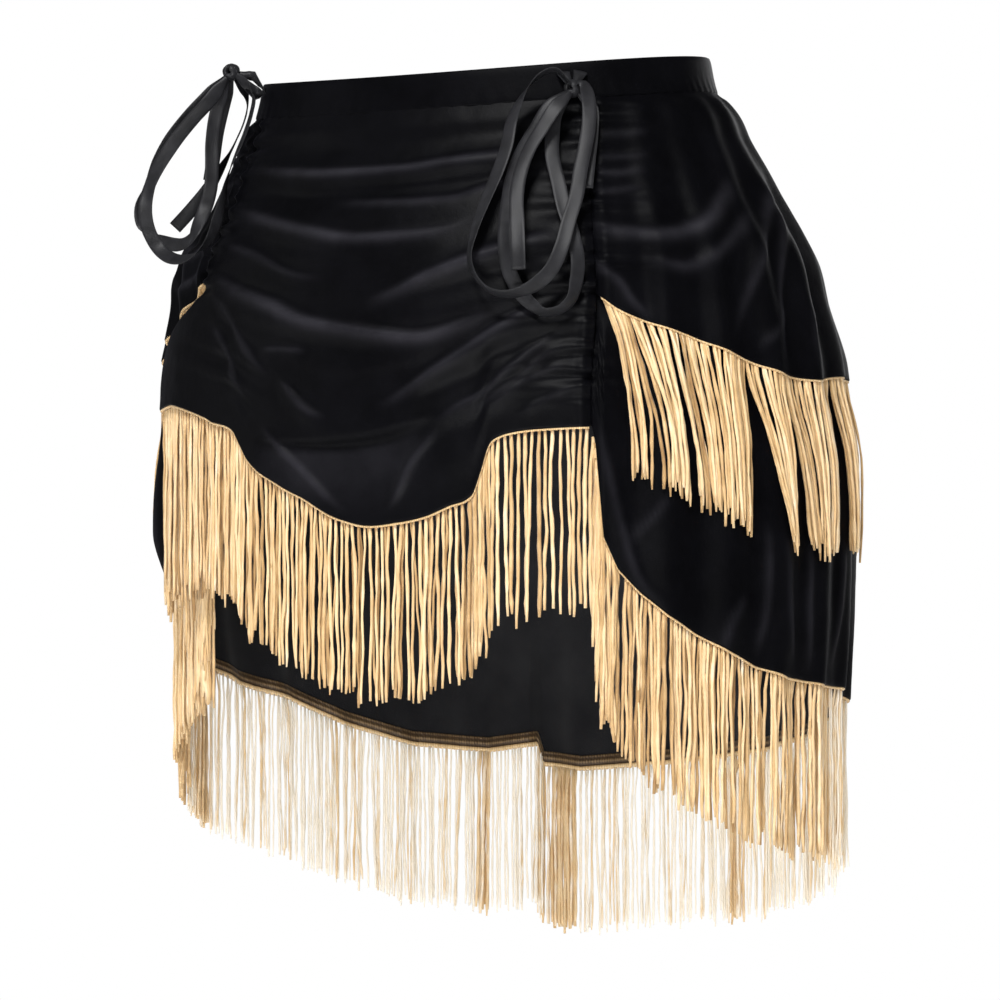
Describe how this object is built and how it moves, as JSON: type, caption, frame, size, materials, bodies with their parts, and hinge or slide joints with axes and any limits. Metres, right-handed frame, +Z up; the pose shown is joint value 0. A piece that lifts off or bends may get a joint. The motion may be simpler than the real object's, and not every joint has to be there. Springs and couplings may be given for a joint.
{
  "type": "burlesque bustle skirt",
  "caption": "Short velvet skirt with a ruched, scalloped front, two longer tiers behind, fringed hems and ribbon bows, filled out as if worn.",
  "frame": {"origin": "middle of the waist opening, level with the waistband's top edge at the sides", "axes": "+Z up, -Y towards the skirt's front, +X towards the wearer's left"},
  "size_m": [0.4282, 0.3185, 0.4955],
  "materials": {
    "velvet": "black stretch velvet",
    "fringe": "gold chainette fringe, slightly lustrous",
    "ribbon": "black satin ribbon"
  },
  "bodies": {
    "root": {"waistband": "velvet", "front_panel": "velvet", "upper_tier": "velvet", "lower_tier": "velvet", "fringe_front": "fringe", "fringe_upper": "fringe", "fringe_lower": "fringe", "knot_left": "ribbon", "ribbon_left_strand_1": "ribbon", "ribbon_left_strand_2": "ribbon", "ribbon_left_loop_1": "ribbon", "ribbon_left_loop_2": "ribbon", "ribbon_left_tail_1": "ribbon", "ribbon_left_tail_2": "ribbon", "knot_right": "ribbon", "ribbon_right_strand_1": "ribbon", "ribbon_right_strand_2": "ribbon", "ribbon_right_loop_1": "ribbon", "ribbon_right_loop_2": "ribbon", "ribbon_right_tail_1": "ribbon", "ribbon_right_tail_2": "ribbon"}
  },
  "joints": []
}
